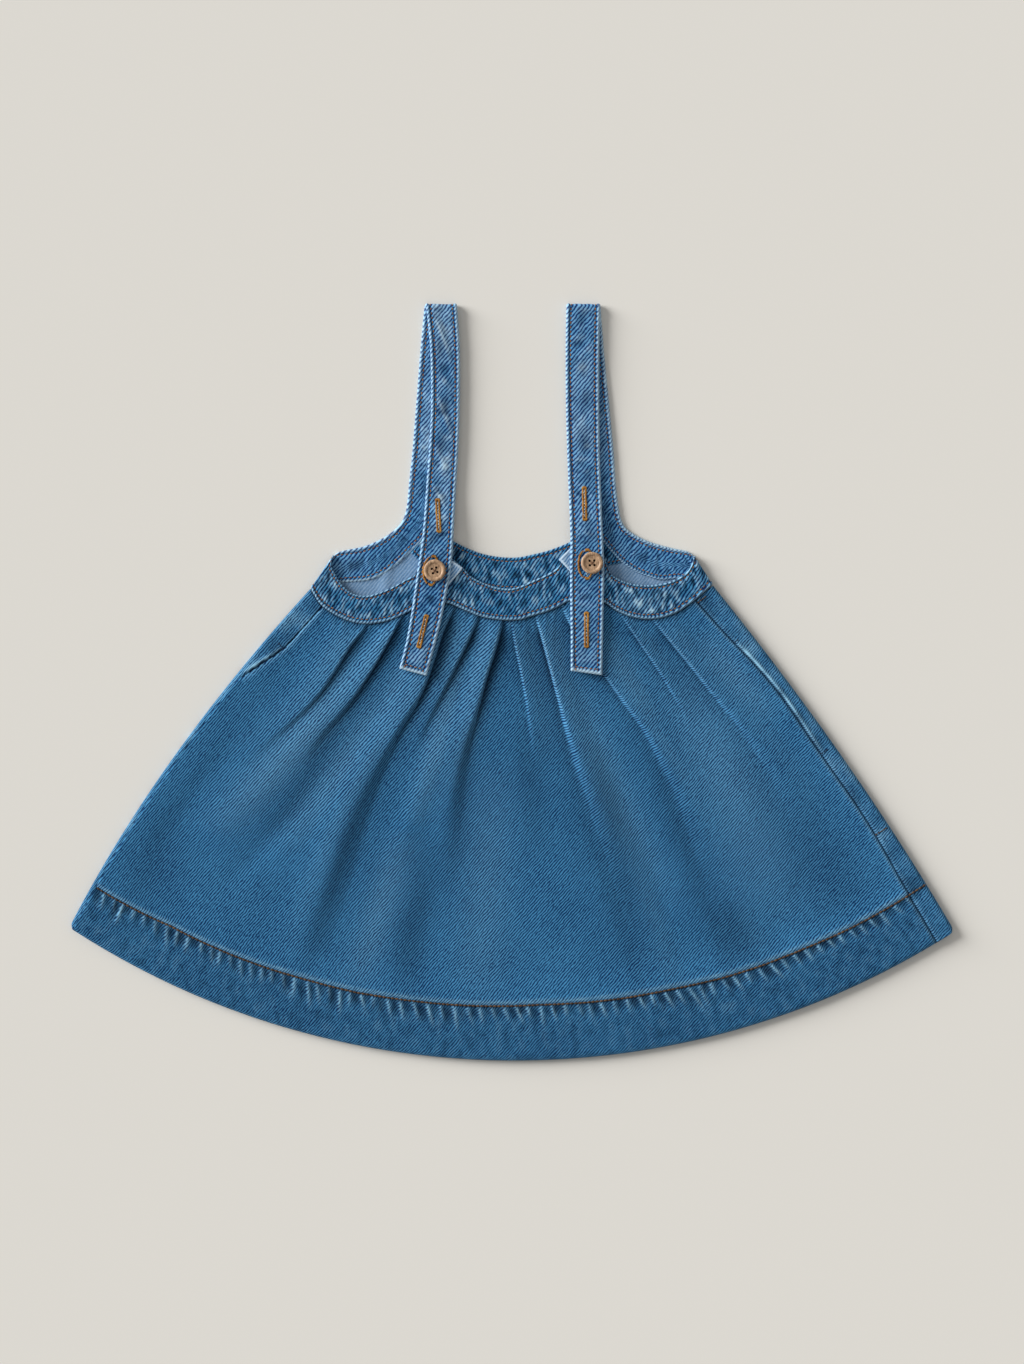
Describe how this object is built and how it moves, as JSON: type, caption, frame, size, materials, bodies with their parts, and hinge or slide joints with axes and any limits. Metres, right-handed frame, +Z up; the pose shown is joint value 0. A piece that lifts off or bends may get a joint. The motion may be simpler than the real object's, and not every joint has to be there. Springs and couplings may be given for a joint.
{
  "type": "pinafore dress",
  "caption": "Child's denim pinafore dress laid flat: pleated flared skirt with a deep hem, curved waistband, and buttoned shoulder straps.",
  "frame": {"origin": "on the surface that the garment lies on, under the middle of its box", "axes": "+X across the garment to the picture's right, +Y from the hem towards the straps, +Z up from the surface, out of the front"},
  "size_m": [0.601, 0.5138, 0.011],
  "materials": {
    "denim_skirt": "washed mid-blue denim twill",
    "denim_back": "washed mid-blue denim twill, paler on its wrong side",
    "denim_band": "washed denim, worn pale along its edges",
    "denim_strap": "faded denim, worn pale along its edges",
    "button_wood": "matt turned wood"
  },
  "bodies": {
    "root": {"front_skirt": "denim_skirt", "back_skirt": "denim_back", "front_band": "denim_band", "back_band": "denim_band", "strap_left": "denim_strap", "strap_right": "denim_strap", "button_left": "button_wood", "button_right": "button_wood"}
  },
  "joints": []
}
